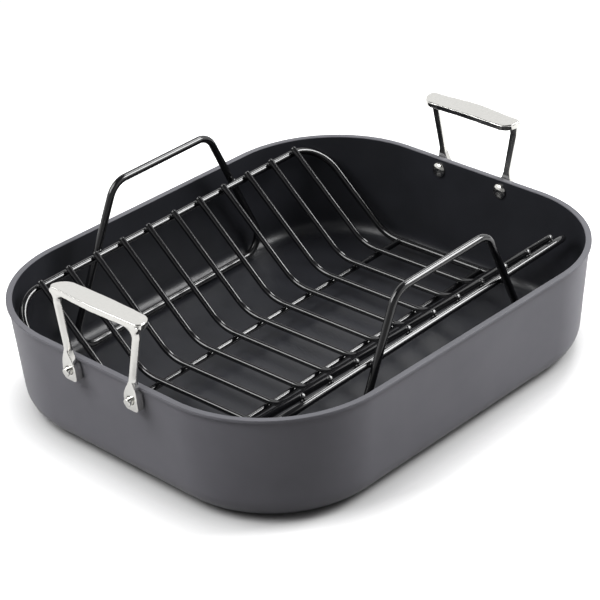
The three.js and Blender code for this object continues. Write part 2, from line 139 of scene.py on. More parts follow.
# The rack in its own frame, where z is 0 under its feet.
FRAME_WIRE = 6.0
CROSS_WIRE = 4.8
ROD_WIRE = 4.8
LOOP_WIRE = 6.0
WELD_GAP = 0.3
RACK_TURN = math.radians(1.8)
RACK_SHIFT = 5.5
BASKET_RAISE = 18.0
BASKET_FOOT = 55.5
BASKET_BEND = 34.0
FRAME_CORNER = 30.0
CROSS_WIRES = 11
WIRE_FROM_CORNER = 1.0
TIP_PAST_RAIL = 3.0
RAIL_BELOW_RIM = 6.6
FRAME_FROM_FILLET = 5.3
ROD_FROM_BEND = 0.5
LOOP_FROM_FILLET = 4.0
LOOP_ABOVE_RIM = 43.0
LOOP_FOOT_PAST_CORNER = 7.5
LOOP_GRIP_X = 52.2
LOOP_TOP_BEND = 18.0
LOOP_FOOT_BEND = 16.0

# Beads of weld: radius and rise, and how far a bead of radius 1 is roughened.
RAIL_BEAD = (2.5, 1.1)
ROD_BEAD = (1.7, 0.8)
LOOP_BEAD = (2.8, 1.2)
ROD_END_BEAD = (2.5, 1.0)
BEAD_ROUGHNESS = 0.09
BEAD_SEED = 7

# The camera stands at the photograph's viewing angle, a little rolled. Its place is in its own directions.
AZIMUTH = math.radians(-45.527)
ELEVATION = math.radians(29.422)
ROLL = math.radians(-2.783)
EYE_RIGHT = -3.316
EYE_UP = 48.377
EYE_BACK = 1677.27
LENS = 130.135
SENSOR = 36

# The studio, in metres and watts. A lamp has its name, place, width, height and power.
SIGHT = 50
FLOOR_SIZE = 16
# How far the painted contact shade in the floor's white reaches.
CONTACT_SHADOW = 0.032
WHITE_FROM = 0.45
WHITE_BEYOND = 0.95
LAMP_AIM = (0, 0, 0.05)
LAMPS = (
    ("lamp_left", (-0.84, 0.53, 1.155), 1.0, 0.9, 16.0),
    ("lamp_right", (0.93, -0.68, 0.96), 0.65, 0.65, 17.0),
    ("lamp_top", (0.96, 0.19, 1.26), 0.30, 0.50, 6.5),
)

# The studio's tones. The backdrop's strengths are those of its far side and its near side.
WHITE = (1, 1, 1, 1)
FLOOR_AS_LIGHT = "#686868"
FLOOR_IN_MIRRORS = "#e0e0e0"
FLOOR_LIFT = "#909090"
BACKDROP_IN_MIRRORS = (1.0, 0.3)
BACKDROP_AS_LIGHT = (0.55, 0.05)
BACKDROP_TURN = {"From Min": 0.1, "From Max": 0.7}
OVERHEAD_FADE = {"From Min": 0.62, "From Max": 0.70, "To Min": 1.0, "To Max": 0.1}

# Fineness of the meshes, and how the handles' casting is polished smooth.
CORNER_SEGMENTS = 40
FILLET_STEPS = 14
EDGE_STEPS = 4
HOLE_SIDES = 40
RIVET_SIDES = 48
DOME_STEPS = 10
SHOULDER_STEPS = 9
STRAIGHT_STEPS = 10
FLARE_STEPS = 8
GRIP_INNER_SEGMENTS = 16
GRIP_OUTER_SEGMENTS = 8
LEG_EDGE_SEGMENTS = 3
FOOT_CORNER_SEGMENTS = 8
CASTING_VOXEL = 0.32
CASTING_SMOOTHING = 0.5
CASTING_PASSES = 30
STUB_EDGE_SEGMENTS = 4
WIRE_SIDES = 20
BEND_STEPS = 14
WIRE_END_ROUND = 0.3  # as a share of the wire's diameter
WIRE_END_SEGMENTS = 5
SPIN_SENSE = -1  # with no window, spin turns against the right-hand rule


# Modelling steps that several pieces share.
def only(piece):
    """Selects one piece alone and makes it the active one."""
    bpy.ops.object.select_all(action="DESELECT")
    piece.select_set(True)
    bpy.context.view_layer.objects.active = piece


def begin(primitive, name, scale=(1, 1, 1), **size):
    """Adds a primitive on its own and makes its place and size part of its mesh."""
    bpy.ops.object.select_all(action="DESELECT")
    primitive(**size)
    piece = bpy.context.object
    piece.name = name
    piece.data.name = name
    piece.scale = scale
    bpy.ops.object.transform_apply(location=True, rotation=True, scale=True)
    return piece


def centre_of(part):
    """The middle of a vertex, edge or face."""
    if isinstance(part, bmesh.types.BMVert):
        return part.co
    if isinstance(part, bmesh.types.BMEdge):
        return (part.verts[0].co + part.verts[1].co) / 2
    return part.calc_center_median()


def runs_along(edge, axis):
    """Whether an edge runs mainly along an axis, 0 to 2."""
    return abs(edge.verts[0].co[axis] - edge.verts[1].co[axis]) > 0.5 * edge.calc_length()


def pick(piece, kind, test):
    """In edit mode, selects the vertices, edges or faces that pass a test, and nothing else."""
    bpy.ops.mesh.select_mode(type=kind)
    bpy.ops.mesh.select_all(action="DESELECT")
    mesh = bmesh.from_edit_mesh(piece.data)
    parts = {"VERT": mesh.verts, "EDGE": mesh.edges, "FACE": mesh.faces}[kind]
    for part in parts:
        if test(part, centre_of(part)):
            part.select_set(True)
    mesh.select_flush_mode()
    bmesh.update_edit_mesh(piece.data)


def edit(piece, kind="EDGE"):
    """Opens a piece in edit mode, with all of it selected."""
    only(piece)
    bpy.ops.object.mode_set(mode="EDIT")
    bpy.ops.mesh.select_mode(type=kind)
    bpy.ops.mesh.select_all(action="SELECT")


def leave():
    """Goes back from edit mode."""
    bpy.ops.object.mode_set(mode="OBJECT")


def round_off(radius, segments):
    """Rounds the selected edges."""
    bpy.ops.mesh.bevel(offset=radius * MM, offset_type="OFFSET", segments=segments, profile=0.5,
                       affect="EDGES")


def draw_out(move):
    """Extrudes what is selected by a vector in metres."""
    bpy.ops.mesh.extrude_region_move(TRANSFORM_OT_translate={"value": move})


def carry_inward(profile, start, facing):
    """Insets the selected face along a profile of (inset, height) points."""
    last = start
    for point in profile:
        bpy.ops.mesh.inset(
            thickness=(point[0] - last[0]) * MM, depth=facing * (point[1] - last[1]) * MM,
            use_boundary=True, use_even_offset=True, use_relative_offset=False)
        last = point


def finish_with(piece, kind, **settings):
    """Adds a modifier and applies it."""
    only(piece)
    modifier = piece.modifiers.new(kind.lower(), kind)
    for key, value in settings.items():
        setattr(modifier, key, value)
    bpy.ops.object.modifier_apply(modifier=modifier.name)


def cut_away(piece, tool):
    """Cuts a tool's shape out of a piece and throws the tool away."""
    finish_with(piece, "BOOLEAN", object=tool, operation="DIFFERENCE", solver="EXACT")
    bpy.data.objects.remove(tool)


def copy_of(piece, name):
    """A copy with its own mesh."""
    only(piece)
    bpy.ops.object.duplicate(linked=False)
    twin = bpy.context.object
    twin.name = name
    twin.data.name = name
    return twin


def place(piece, matrix):
    """Puts a piece at its place and makes that part of its mesh."""
    only(piece)
    piece.matrix_world = matrix
    bpy.ops.object.transform_apply(location=True, rotation=True, scale=True)


def join(name, pieces):
    """Makes several pieces one object."""
    bpy.ops.object.select_all(action="DESELECT")
    for piece in pieces:
        piece.select_set(True)
    bpy.context.view_layer.objects.active = pieces[0]
    bpy.ops.object.join()
    pieces[0].name = name
    pieces[0].data.name = name
    return pieces[0]


def smooth(piece, degrees):
    """Shades a piece smooth, apart from edges sharper than an angle."""
    only(piece)
    bpy.ops.object.shade_smooth_by_angle(angle=math.radians(degrees))


def dress(piece, *materials):
    """Gives a piece its materials, in the order of their slots."""
    piece.data.materials.clear()
    for material in materials:
        piece.data.materials.append(material)


def stand_for(piece, body, slot, *nodes):
    """Lets a piece ride on a body in the place of its CAD nodes."""
    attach(piece, body)
    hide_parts(*nodes)


def between(start, end, share):
    """The value at a share of the way from one to the other."""
    return start + (end - start) * share


def ease(share):
    """A soft step from 0 to 1."""
    share = min(1.0, max(0.0, share))
    return share * share * (3 - 2 * share)


# Materials.
def linear(hexcode, alpha=1.0):
    """An sRGB hex colour as linear numbers."""
    parts = [int(hexcode[i:i + 2], 16) / 255 for i in (1, 3, 5)]
    return tuple(c / 12.92 if c <= 0.04045 else ((c + 0.055) / 1.055) ** 2.4 for c in parts) + (alpha,)


def add_node(tree, kind, settings=None, values=None, links=None):
    """Adds a node with its settings, socket values and links."""
    node = tree.nodes.new(kind)
    for key, value in (settings or {}).items():
        setattr(node, key, value)
    for socket, value in (values or {}).items():
        node.inputs[socket].default_value = value
    for socket, source in (links or {}).items():
        tree.links.new(source, node.inputs[socket])
    return node


def start_material(name):
    """An empty material with its node tree, and the place on the piece that its patterns read."""
    material = bpy.data.materials.new(name)
    material.use_nodes = True
    tree = material.node_tree
    tree.nodes.clear()
    return material, tree, add_node(tree, "ShaderNodeTexCoord").outputs["Object"]


def per_metre(millimetres):
    """The scale of a pattern on Object coordinates whose grains have that size."""
    return 1000.0 / millimetres


def shade(tree, colour, roughness, relief, constants):
    """Lets patterns drive a surface: colour and roughness by two values, relief by strength and depth."""
    # Nearly all of a noise lies between 0.3 and 0.7.
    pattern, low, high = colour
    share = add_node(tree, "ShaderNodeMapRange", values={"From Min": 0.3, "From Max": 0.7},
                     links={"Value": pattern.outputs["Fac"]})
    tint = add_node(tree, "ShaderNodeMix", {"data_type": "RGBA"}, {6: linear(low), 7: linear(high)},
                    {0: share.outputs["Result"]})
    pattern, low, high = roughness
    gloss = add_node(tree, "ShaderNodeMapRange", values={"To Min": low, "To Max": high},
                     links={"Value": pattern.outputs["Fac"]})
    pattern, strength, depth = relief
    bump = add_node(tree, "ShaderNodeBump", values={"Strength": strength, "Distance": depth * MM},
                    links={"Height": pattern.outputs["Fac"]})
    shader = add_node(tree, "ShaderNodeBsdfPrincipled", values=constants, links={
        "Base Color": tint.outputs[2],
        "Roughness": gloss.outputs["Result"],
        "Normal": bump.outputs["Normal"],
    })
    add_node(tree, "ShaderNodeOutputMaterial", links={"Surface": shader.outputs["BSDF"]})


def hard_anodised_aluminium(name, low, high):
    """Drawn aluminium, blasted and hard-anodised: a satin dark grey oxide with a fine, even grain."""
    material, tree, where = start_material(name)
    cloud = add_node(tree, "ShaderNodeTexNoise", values={"Scale": per_metre(60), "Detail": 3.0},
                     links={"Vector": where})
    # The oxide's grain is about 0.1 mm; it is drawn at 0.7 mm so that it shows at all.
    grain = add_node(tree, "ShaderNodeTexNoise", values={"Scale": per_metre(0.7), "Detail": 2.0},
                     links={"Vector": where})
    shade(tree, colour=(cloud, low, high), roughness=(grain, 0.36, 0.46), relief=(grain, 0.06, 0.1),
          constants={"Metallic": 0.0, "IOR": 1.45, "Specular IOR Level": 0.3})
    return material


def nonstick_coating():
    """Sprayed and baked nonstick: black, softly glossy, with the faint orange-peel grain of the spray."""
    material, tree, where = start_material("black_nonstick_coating")
    cloud = add_node(tree, "ShaderNodeTexNoise", values={"Scale": per_metre(45), "Detail": 3.0},
                     links={"Vector": where})
    peel = add_node(tree, "ShaderNodeTexNoise", values={"Scale": per_metre(1.1), "Detail": 2.0},
                    links={"Vector": where})
    shade(tree, colour=(cloud, "#242529", "#2b2c31"), roughness=(peel, 0.27, 0.38),
          relief=(peel, 0.12, 0.2), constants={"Metallic": 0.0, "IOR": 1.45})
    return material


def coated_wire():
    """Steel wire under a baked black coat: semi-gloss, so that a lamp draws a crisp line along each wire."""
    material, tree, where = start_material("black_coated_steel_wire")
    cloud = add_node(tree, "ShaderNodeTexNoise", values={"Scale": per_metre(14), "Detail": 2.0},
                     links={"Vector": where})
    peel = add_node(tree, "ShaderNodeTexNoise", values={"Scale": per_metre(1.4), "Detail": 1.0},
                    links={"Vector": where})
    shade(tree, colour=(cloud, "#0f0f11", "#161618"), roughness=(cloud, 0.11, 0.17),
          relief=(peel, 0.05, 0.2), constants={"Metallic": 0.0, "IOR": 1.65})
    return material


def polished_stainless():
    """Cast stainless steel, ground and polished: bright, faintly warm, with slow waves and a little haze."""
    material, tree, where = start_material("polished_cast_stainless_steel")
    wave = add_node(tree, "ShaderNodeTexNoise", values={"Scale": per_metre(25), "Detail": 1.0},
                    links={"Vector": where})
    haze = add_node(tree, "ShaderNodeTexNoise", values={"Scale": per_metre(2.5), "Detail": 2.0},
                    links={"Vector": where})
    shade(tree, colour=(haze, "#dcdbd7", "#e0dfdb"), roughness=(haze, 0.08, 0.12),
          relief=(wave, 0.03, 0.4), constants={"Metallic": 1.0})
    return material


ANODISED = hard_anodised_aluminium("hard_anodised_aluminium", "#79787f", "#828188")
# The rim's top is a darker copy of the walls' material: its darker tone is painted shade.
RIM = hard_anodised_aluminium("machined_rim_with_painted_shade", "#5c5c61", "#646469")
NONSTICK = nonstick_coating()
WIRE_COAT = coated_wire()
STAINLESS = polished_stainless()


# The pan.
def outer_inset(z):
    """How far the outside of the wall lies inside the rim's outer edge at a height."""
    return RIM_LIP + (PAN_HEIGHT - z) * math.tan(PAN_DRAFT)


def inner_inset(z):
    """The same for the inside of the wall."""
    return outer_inset(z) + PAN_WALL / math.cos(PAN_DRAFT)


def wall_points(inset_at, *heights):
    """Points (inset, height) on a wall."""
    return [(inset_at(z), z) for z in heights]


def fillet_profile(level, radius, inset_at):
    """Points (inset, height) from the wall down to a level, round a fillet."""
    middle = inset_at(level + radius) + radius / math.cos(PAN_DRAFT)
    points = []
    for step in range(FILLET_STEPS, -1, -1):
        angle = (math.pi / 2 - PAN_DRAFT) * step / FILLET_STEPS
        points.append((middle - radius * math.sin(angle), level + radius * (1 - math.cos(angle))))
    return points


def round_edge(start, corner, end):
    """Points (inset, height) round a small edge, from one face to the next."""
    points = []
    for step in range(1, EDGE_STEPS + 1):
        share = step / EDGE_STEPS
        near = [between(a, b, share) for a, b in zip(start, corner)]
        far = [between(a, b, share) for a, b in zip(corner, end)]
        points.append(tuple(between(a, b, share) for a, b in zip(near, far)))
    return points


def inside_profile():
    """The pan's inside from the rim's outer edge, over the rim and down to the floor."""
    top, edge = PAN_HEIGHT, inner_inset(PAN_HEIGHT)
    fillet = fillet_profile(PAN_FLOOR, INNER_FILLET, inner_inset)
    below = (inner_inset(top - RIM_EDGE), top - RIM_EDGE)
    return [
        *round_edge((0, top - RIM_EDGE), (0, top), (RIM_EDGE, top)),
        (edge - RIM_EDGE, top),
        *round_edge((edge - RIM_EDGE, top), (edge, top), below),
        *wall_points(inner_inset, top - EDGE_LOOP, fillet[0][1] + EDGE_LOOP),
        *fillet,
        (fillet[-1][0] + EDGE_LOOP, PAN_FLOOR),
    ]


def outside_profile():
    """The pan's outside from the rim's outer edge, under its lip and down to the base."""
    under = PAN_HEIGHT - RIM_LIP_HEIGHT
    fillet = fillet_profile(0.0, OUTER_FILLET, outer_inset)
    return [
        *round_edge((0, under + RIM_EDGE), (0, under), (RIM_EDGE, under)),
        (outer_inset(under) - LIP_CREASE, under),
        *wall_points(outer_inset, under - LIP_CREASE_DROP, under - EDGE_LOOP, fillet[0][1] + EDGE_LOOP),
        *fillet,
        (fillet[-1][0] + EDGE_LOOP, 0.0),
    ]


def rivet_matrix(side):
    """From a rivet's own axis, +Z outward, to its place on the leaning end wall."""
    spot = Vector((-outer_inset(RIVET_Z), side * RIVET_Y, RIVET_Z)) * MM
    return Matrix.Translation(spot) @ Matrix.Rotation(PAN_DRAFT + math.pi / 2, 4, "Y")


def end_matrix(end):
    """From an end's own frame to the pan: the left end is the right one turned half round."""
    turn = 0.0 if end > 0 else math.pi
    return Matrix.Translation((end * PAN_LENGTH / 2 * MM, 0, 0)) @ Matrix.Rotation(turn, 4, "Z")


def hole_tool(side, to_place=Matrix.Identity(4)):
    """The cylinder that cuts a rivet's hole."""
    tool = begin(bpy.ops.mesh.primitive_cylinder_add, "rivet_hole", vertices=HOLE_SIDES,
                 radius=RIVET_HOLE * MM, depth=HOLE_TOOL_LENGTH * MM)
    place(tool, to_place @ rivet_matrix(side))
    return tool


def coat(pan, slot, test):
    """Gives the faces that pass a test the material of a slot."""
    pick(pan, "FACE", test)
    pan.active_material_index = slot
    bpy.ops.object.material_slot_assign()


def pan_body():
    """A slab with the rim's outline; its two faces are carried inward into the inside and the outside."""
    band = RIM_LIP_HEIGHT - 2 * RIM_EDGE
    pan = begin(bpy.ops.mesh.primitive_cube_add, "pan_shell", size=1,
                location=(0, 0, (PAN_HEIGHT - RIM_LIP_HEIGHT / 2) * MM),
                scale=(PAN_LENGTH * MM, PAN_WIDTH * MM, band * MM))
    edit(pan)
    pick(pan, "EDGE", lambda edge, at: runs_along(edge, 2))
    round_off(PAN_CORNER, CORNER_SEGMENTS)
    pick(pan, "FACE", lambda face, at: face.normal.z > 0.9)
    carry_inward(inside_profile(), (0, PAN_HEIGHT - RIM_EDGE), 1)
    # The slab's underside is the only face that looks down and has more than four corners.
    pick(pan, "FACE", lambda face, at: face.normal.z < -0.9 and len(face.verts) > 4)
    carry_inward(outside_profile(), (0, PAN_HEIGHT - RIM_LIP_HEIGHT + RIM_EDGE), -1)
    leave()

    dress(pan, ANODISED, NONSTICK, RIM)
    edit(pan)
    # The inside looks a little upward all over, and the machined rim is what lies flat at the top.
    coat(pan, 1, lambda face, at: face.normal.z > 0.02 and at.z < (PAN_HEIGHT - RIM_EDGE) * MM)
    # The rim's faces take the darker slot, whose tone is painted shade.
    coat(pan, 2, lambda face, at: face.normal.z > 0.4 and at.z > (PAN_HEIGHT - 0.9 * RIM_EDGE) * MM)
    leave()
    for end in (-1, 1):
        for side in (-1, 1):
            cut_away(pan, hole_tool(side, end_matrix(end)))
    smooth(pan, 35)
    finish_with(pan, "WEIGHTED_NORMAL", keep_sharp=True, weight=50, mode="FACE_AREA")
    stand_for(pan, "pan", "anodised_aluminium", "pan_body")


# The handles.
def grip_block():
    """The grip: a slab with round ends, swollen and arched in its middle, tilted up to its outer side."""
    grip = begin(bpy.ops.mesh.primitive_cube_add, "grip_block", size=1,
                 location=((GRIP_OUTER + GRIP_INNER) / 2 * MM, 0, -GRIP_THICKNESS / 2 * MM),
                 scale=((GRIP_OUTER - GRIP_INNER) * MM, 2 * GRIP_END * MM, GRIP_THICKNESS * MM))
    edit(grip)
    for x, radius, segments in ((GRIP_INNER, GRIP_INNER_CORNER, GRIP_INNER_SEGMENTS),
                                (GRIP_OUTER, GRIP_OUTER_CORNER, GRIP_OUTER_SEGMENTS)):
        pick(grip, "EDGE", lambda edge, at: runs_along(edge, 2) and abs(at.x - x * MM) < SAME_PLACE)
        round_off(radius, segments)
    cuts = [GRIP_CUT_SPACING * step for step in range(-GRIP_CUTS_EACH_WAY, GRIP_CUTS_EACH_WAY + 1)]
    for y in cuts:
        bpy.ops.mesh.select_all(action="SELECT")
        bpy.ops.mesh.bisect(plane_co=(0, y * MM, 0), plane_no=(0, 1, 0))
    for y in cuts:
        middle = ease(1 - abs(y) / (GRIP_END - GRIP_PLAIN_END))
        pick(grip, "VERT", lambda vert, at: abs(at.y - y * MM) < SAME_PLACE
             and abs(at.x - GRIP_OUTER * MM) < SAME_PLACE)
        bpy.ops.transform.translate(value=(GRIP_SWELL * middle * MM, 0, 0))
        pick(grip, "VERT", lambda vert, at: abs(at.y - y * MM) < SAME_PLACE)
        bpy.ops.transform.translate(value=(0, 0, GRIP_ARCH * middle * MM))
    leave()
    place(grip, Matrix.Translation((0, 0, GRIP_TOP * MM)) @ Matrix.Rotation(-GRIP_TILT, 4, "Y"))
    return grip


def seat_at(z):
    """Where a leg's back lies at a height at which it follows the leaning wall."""
    return SEAT_GAP - outer_inset(z)


def leg_sections():
    """A leg's sections from the foot up: height, back and front, inner and outer side."""
    sections = [(z, seat_at(z), seat_at(z) + FOOT_THICKNESS, FOOT_INNER, FOOT_OUTER)
                for z in (FOOT_BOTTOM, FOOT_SHOULDER)]
    shoulder_front = seat_at(FOOT_SHOULDER) + FOOT_THICKNESS
    for step in range(1, SHOULDER_STEPS + 1):
        share = step / SHOULDER_STEPS
        z = between(FOOT_SHOULDER, NECK_Z, share)
        back = seat_at(z) if z < PAN_HEIGHT - RIM_LIP_HEIGHT - LIP_ROOM else SEAT_GAP
        sections.append((z, back, between(shoulder_front, LEG_FRONT + LEG_BELLY, share),
                         between(FOOT_INNER, NECK_INNER, ease(share)),
                         between(FOOT_OUTER, NECK_OUTER, ease(share))))
    for step in range(1, STRAIGHT_STEPS):
        share = step / STRAIGHT_STEPS
        z = between(NECK_Z, GRIP_UNDER - LEG_FLARE, share)
        sections.append((z, SEAT_GAP, LEG_FRONT + LEG_BELLY * (1 - share),
                         between(NECK_INNER, LEG_TOP_INNER, share),
                         between(NECK_OUTER, LEG_TOP_OUTER, share)))
    for step in range(FLARE_STEPS + 1):
        share = step / FLARE_STEPS
        z = GRIP_UNDER - LEG_FLARE * (1 - share) ** 2
        sections.append((z, SEAT_GAP - LEG_FLARE_BACK * share ** 3, LEG_FRONT,
                         LEG_TOP_INNER - LEG_FLARE * share ** 2, LEG_TOP_OUTER + LEG_FLARE_OUT * share ** 2))
    sections.append((GRIP_UNDER + LEG_IN_GRIP, *sections[-1][1:]))
    return sections


def slant_at(z):
    """How much of its slant a leg has at a height: all of it half way up, none at the rim and the grip."""
    return ease((z - SLANT_START) / SLANT_RISE) * ease((SLANT_END - z) / SLANT_FALL)


def slant_sides(leg, side, sections):
    """Moves the front corners of a leg's sections, so that both of its sides slant."""
    for z, back, front, inner, outer in sections:
        slant = slant_at(z)
        if slant < 0.01:
            continue
        middle = (inner + outer) / 2 * MM
        for on_inner_side, shift in ((True, LEG_WEDGE), (False, -LEG_TAPER)):
            pick(leg, "VERT", lambda vert, at: abs(at.z - z * MM) < SAME_PLACE
                 and abs(at.x - front * MM) < SAME_PLACE and (abs(at.y) < middle) == on_inner_side)
            bpy.ops.transform.translate(value=(0, side * shift * slant * MM, 0))


def handle_leg(side):
    """One leg: a foot drawn up section by section, with slanted sides, round edges and a rivet's hole."""
    sections = leg_sections()
    z, back, front, inner, outer = sections[0]
    leg = begin(bpy.ops.mesh.primitive_plane_add, "handle_leg", size=1,
                location=((back + front) / 2 * MM, side * (inner + outer) / 2 * MM, z * MM),
                scale=((front - back) * MM, (outer - inner) * MM, 1))
    edit(leg, "FACE")
    for (z0, b0, f0, i0, o0), (z1, b1, f1, i1, o1) in zip(sections, sections[1:]):
        draw_out(Vector(((b1 + f1 - b0 - f0) / 2, side * (i1 + o1 - i0 - o0) / 2, z1 - z0)) * MM)
        middle = Vector(((b1 + f1) / 2, side * (i1 + o1) / 2, z1)) * MM
        growth = ((f1 - b1) / (f0 - b0), (o1 - i1) / (o0 - i0), 1)
        bpy.ops.transform.resize(value=growth, center_override=middle)
    bpy.ops.mesh.select_all(action="SELECT")
    bpy.ops.mesh.remove_doubles(threshold=LEG_MERGE)
    bpy.ops.mesh.normals_make_consistent(inside=False)
    slant_sides(leg, side, sections)
    pick(leg, "EDGE", lambda edge, at: LEG_EDGE_START * MM < at.z < LEG_EDGE_END * MM
         and runs_along(edge, 2))
    round_off(LEG_EDGE, LEG_EDGE_SEGMENTS)
    pick(leg, "EDGE", lambda edge, at: abs(at.z - FOOT_BOTTOM * MM) < SAME_PLACE and runs_along(edge, 0))
    round_off(FOOT_CORNER, FOOT_CORNER_SEGMENTS)
    leave()
    cut_away(leg, hole_tool(side))
    return leg


def pan_handles():
    """One casting from grip and legs, its joints and edges softened as by polishing, and its twin."""
    handle = join("handle_right", [grip_block(), handle_leg(-1), handle_leg(1)])
    finish_with(handle, "REMESH", mode="VOXEL", voxel_size=CASTING_VOXEL * MM, use_smooth_shade=True)
    finish_with(handle, "SMOOTH", factor=CASTING_SMOOTHING, iterations=CASTING_PASSES)
    dress(handle, STAINLESS)
    twin = copy_of(handle, "handle_left")
    for piece, end, node in ((handle, 1, "pan_handle_right"), (twin, -1, "pan_handle_left")):
        place(piece, end_matrix(end))
        stand_for(piece, "pan", "stainless_steel", node)


# The rivets.
def pan_rivets():
    """A round head drawn up into a dome on one side, and into a shank with a blunt stub on the other."""
    seat = -(PAN_WALL + SEAT_GAP)
    stub = SEAT_GAP + FOOT_THICKNESS + RIVET_STUB
    rivet = begin(bpy.ops.mesh.primitive_cylinder_add, "rivet", vertices=RIVET_SIDES, radius=RIVET_HEAD * MM,
                  depth=RIVET_BRIM * MM, location=(0, 0, (seat - RIVET_BRIM / 2) * MM))
    edit(rivet)
    pick(rivet, "FACE", lambda face, at: face.normal.z < -0.9)
    angles = [math.pi / 2 * step / DOME_STEPS for step in range(1, DOME_STEPS)]
    dome = [(RIVET_HEAD * (1 - math.cos(angle)), between(RIVET_BRIM, RIVET_RISE, math.sin(angle)))
            for angle in angles]
    crown = (between(dome[-1][0], RIVET_HEAD, RIVET_CROWN), RIVET_RISE)
    carry_inward([*dome, crown], (0, RIVET_BRIM), 1)
    pick(rivet, "FACE", lambda face, at: face.normal.z > 0.9)
    carry_inward([(RIVET_HEAD - RIVET_SHANK, 0)], (0, 0), 1)
    draw_out((0, 0, (stub - seat) * MM))
    round_off(RIVET_STUB_EDGE, STUB_EDGE_SEGMENTS)
    pick(rivet, "FACE", lambda face, at: face.normal.z > 0.99 and abs(at.z - stub * MM) < SAME_PLACE)
    carry_inward([(RIVET_STUB_INSET, 0)], (0, 0), 1)
    leave()
    smooth(rivet, 40)
    dress(rivet, STAINLESS)
    for end, at_end in ((-1, "left"), (1, "right")):
        for side in (-1, 1):
            seat_name = "back" if side * end > 0 else "front"
            twin = copy_of(rivet, f"{at_end}_{seat_name}_rivet")
            place(twin, end_matrix(end) @ rivet_matrix(side))
            stand_for(twin, "pan", "stainless_steel", f"rivet_{at_end}_{seat_name}")
    bpy.data.objects.remove(rivet)


# The rack's places, worked out from the pan's floor and rim.
FLOOR_EDGE_INSET = fillet_profile(PAN_FLOOR, INNER_FILLET, inner_inset)[-1][0]
FLOOR_EDGE = PAN_WIDTH / 2 - FLOOR_EDGE_INSET
RACK_BASE = PAN_FLOOR + SEAT_GAP
LOOP_Y = FLOOR_EDGE - LOOP_FROM_FILLET
LOOP_GRIP_Z = PAN_HEIGHT + LOOP_ABOVE_RIM - RACK_BASE
LOOP_FOOT_X = PAN_LENGTH / 2 - PAN_CORNER + LOOP_FOOT_PAST_CORNER
LOOP_FOOT_Z = LOOP_WIRE / 2
RAIL_Y = LOOP_Y - (LOOP_WIRE + FRAME_WIRE) / 2 - WELD_GAP
RAIL_Z = PAN_HEIGHT - RAIL_BELOW_RIM - RACK_BASE
FRAME_END = PAN_LENGTH / 2 - FLOOR_EDGE_INSET - FRAME_FROM_FILLET
CROSS_LIFT = (CROSS_WIRE + FRAME_WIRE) / 2 + WELD_GAP
FRAME_FLAT_Z = BASKET_RAISE - CROSS_LIFT
RUN_Y = RAIL_Y - BASKET_FOOT
RUN_Z = RAIL_Z - BASKET_RAISE
RUN = math.hypot(RUN_Y, RUN_Z)
SLOPE = math.atan2(RUN_Z, RUN_Y) + math.asin(CROSS_LIFT / RUN)
SLOPE_LENGTH = math.sqrt(RUN ** 2 - CROSS_LIFT ** 2) + TIP_PAST_RAIL
ROD_Y = BASKET_FOOT - BASKET_BEND * math.tan(SLOPE / 2) - ROD_FROM_BEND
ROD_Z = BASKET_RAISE - (CROSS_WIRE + ROD_WIRE) / 2 - WELD_GAP
ROD_END = FRAME_END - FRAME_WIRE / 2 - WELD_GAP
LAST_WIRE = FRAME_END - FRAME_CORNER - WIRE_FROM_CORNER
WIRE_X = [LAST_WIRE * (2 * index / (CROSS_WIRES - 1) - 1) for index in range(CROSS_WIRES)]


def rack_matrix():
    """How the loose rack lies: turned, pushed back, and tilted as its back foot rides up the fillet."""
    lean = math.atan2(LOOP_FOOT_X - LOOP_GRIP_X, LOOP_GRIP_Z - LOOP_FOOT_Z)
    straight = LOOP_FOOT_X - LOOP_FOOT_BEND * math.tan((math.pi / 2 + lean) / 2)
    over = LOOP_Y * math.cos(RACK_TURN) + straight * math.sin(RACK_TURN) + RACK_SHIFT - FLOOR_EDGE
    room = INNER_FILLET - LOOP_WIRE / 2
    ride = room - math.sqrt(room ** 2 - max(0.0, over) ** 2)
    tilt = math.asin(ride / (2 * LOOP_Y))
    lift = Vector((0, RACK_SHIFT, RACK_BASE + LOOP_Y * math.sin(tilt))) * MM
    return Matrix.Translation(lift) @ Matrix.Rotation(tilt, 4, "X") @ Matrix.Rotation(RACK_TURN, 4, "Z")


RACK = rack_matrix()


def wire(name, corners, diameter, closed):
    """A round wire: a circle drawn along its straight runs and spun round its bends."""
    count = len(corners)
    points = [Vector(corner[:3]) * MM for corner in corners]
    radii = [corner[3] * MM for corner in corners]
    start = (points[-1] + points[0]) / 2 if closed else points[0]
    first = (points[0] - start if closed else points[1] - points[0]).normalized()
    tube = begin(bpy.ops.mesh.primitive_circle_add, name, vertices=WIRE_SIDES, radius=diameter / 2 * MM,
                 fill_type="NOTHING", location=start, rotation=first.to_track_quat("Z", "Y").to_euler())
    edit(tube)
    at = start
    for index in (range(count) if closed else range(1, count - 1)):
        corner, after = points[index], points[(index + 1) % count]
        into = (corner - points[index - 1]).normalized()
        out = (after - corner).normalized()
        turn = into.angle(out)
        side = (out - into * into.dot(out)).normalized()
        reach = radii[index] * math.tan(turn / 2)
        entry = corner - into * reach
        draw_out(entry - at)
        bpy.ops.mesh.spin(steps=BEND_STEPS, dupli=False, angle=SPIN_SENSE * turn,
                          center=entry + side * radii[index], axis=into.cross(side))
        at = corner + out * reach
    draw_out((start if closed else points[-1]) - at)
    bpy.ops.mesh.select_all(action="SELECT")
    bpy.ops.mesh.remove_doubles(threshold=WIRE_MERGE)
    if not closed:
        bpy.ops.mesh.fill_holes(sides=0)
        pick(tube, "FACE", lambda face, middle: len(face.verts) == WIRE_SIDES)
        round_off(WIRE_END_ROUND * diameter, WIRE_END_SEGMENTS)
    bpy.ops.mesh.select_all(action="SELECT")
    bpy.ops.mesh.normals_make_consistent(inside=False)
    leave()
    smooth(tube, 50)
    dress(tube, WIRE_COAT)
    return tube


def set_in_rack(piece, node, x=0.0):
    """Puts a wire where the rack lies, shifted along the rails, in the place of its CAD node."""
    place(piece, RACK @ Matrix.Translation((x * MM, 0, 0)))
    stand_for(piece, "rack", "coated_wire", node)


